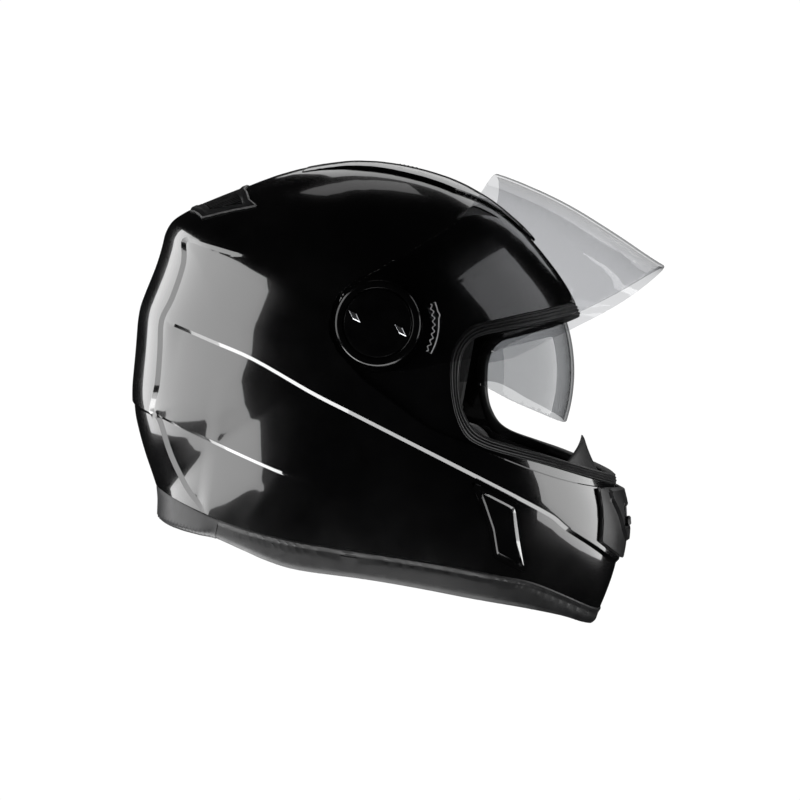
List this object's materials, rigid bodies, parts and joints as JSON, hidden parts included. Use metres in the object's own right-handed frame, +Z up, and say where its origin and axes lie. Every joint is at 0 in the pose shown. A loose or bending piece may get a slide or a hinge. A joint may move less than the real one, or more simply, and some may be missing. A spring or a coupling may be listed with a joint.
{
  "type": "motorcycle helmet",
  "caption": "Full-face motorcycle helmet with a clear flip-up visor, inner smoke sun visor, vents, padded liner and quick-release chin strap, standing on its rim.",
  "frame": {"origin": "Middle of the footprint box on the plane the rim stands on", "axes": "+Z up, -Y is the front (face opening), -X is the rider's right hand side"},
  "size_m": [0.2542, 0.3528, 0.2863],
  "materials": {
    "gloss_shell": "gloss",
    "satin_trim": "satin",
    "rubber_seal": "matte",
    "liner_fabric": "matte",
    "foam_liner": "matte",
    "clear_visor": "gloss",
    "smoke_visor": "gloss",
    "steel": "satin",
    "silver_inlay": "satin",
    "webbing": "matte"
  },
  "bodies": {
    "shell": {"outer_shell": "gloss_shell", "bottom_trim": "satin_trim", "neck_roll": "liner_fabric", "eye_port_gasket": "rubber_seal", "eps_liner": "foam_liner", "chin_eps": "foam_liner", "crown_pad": "liner_fabric", "cheek_pad_left": "liner_fabric", "cheek_pad_right": "liner_fabric", "breath_deflector": "satin_trim", "chin_vent_housing": "satin_trim", "chin_vent_mesh": "satin_trim", "top_vent_housing": "gloss_shell", "top_vent_mesh": "satin_trim", "rear_exhaust_frame": "satin_trim", "rear_exhaust_grille": "satin_trim", "side_vent_right": "satin_trim", "side_vent_left": "satin_trim", "visor_base_plate_left": "satin_trim", "visor_base_plate_right": "satin_trim", "base_plate_screws": "steel", "pivot_cover_left": "satin_trim", "pivot_cover_right": "satin_trim", "pivot_cover_inlays": "silver_inlay", "sun_visor_pins": "steel", "sun_visor_bracket_left": "satin_trim", "sun_visor_bracket_right": "satin_trim", "strap_anchor_left": "steel", "strap_anchor_right": "steel", "strap_rivets": "steel", "chin_strap_left": "webbing", "chin_strap_right": "webbing", "buckle_tongue": "steel", "buckle_frame": "steel", "buckle_pin": "steel"},
    "visor": {"visor": "clear_visor"},
    "sun_visor": {"sun_visor": "smoke_visor"},
    "sun_visor_lever": {"sun_visor_lever": "satin_trim"},
    "chin_vent_slider": {"chin_vent_slider": "satin_trim"},
    "top_vent_slider": {"top_vent_slider": "satin_trim"},
    "buckle_lever": {"buckle_lever": "steel"}
  },
  "joints": [
    {"name": "visor_hinge", "type": "hinge", "parent": "shell", "child": "visor", "pos_m": [0, 0.00196, 0.1729], "axis": [-1, 0, 0], "range_deg": [-47.9, 0]},
    {"name": "sun_visor_hinge", "type": "hinge", "parent": "shell", "child": "sun_visor", "pos_m": [0, -0.00824, 0.1444], "axis": [-1, 0, 0], "range_deg": [0, 39]},
    {"name": "sun_visor_lever_slide", "type": "slide", "parent": "shell", "child": "sun_visor_lever", "axis": [0, 1, 0], "range_m": [0, 0.016]},
    {"name": "chin_vent_slide", "type": "slide", "parent": "shell", "child": "chin_vent_slider", "axis": [0, 0.28, 0.96], "range_m": [0, 0.006]},
    {"name": "top_vent_slide", "type": "slide", "parent": "shell", "child": "top_vent_slider", "axis": [0, 1, 0], "range_m": [0, 0.01]},
    {"name": "buckle_lever_hinge", "type": "hinge", "parent": "shell", "child": "buckle_lever", "pos_m": [-0.014, -0.01554, 0.0186], "axis": [0, -1, 0], "range_deg": [0, 35], "stiffness_Nm_per_rad": 0.02}
  ],
  "couplings": [
    {"joint": "sun_visor_lever_slide", "follows": "sun_visor_hinge", "m_per_rad": 0.0235}
  ]
}
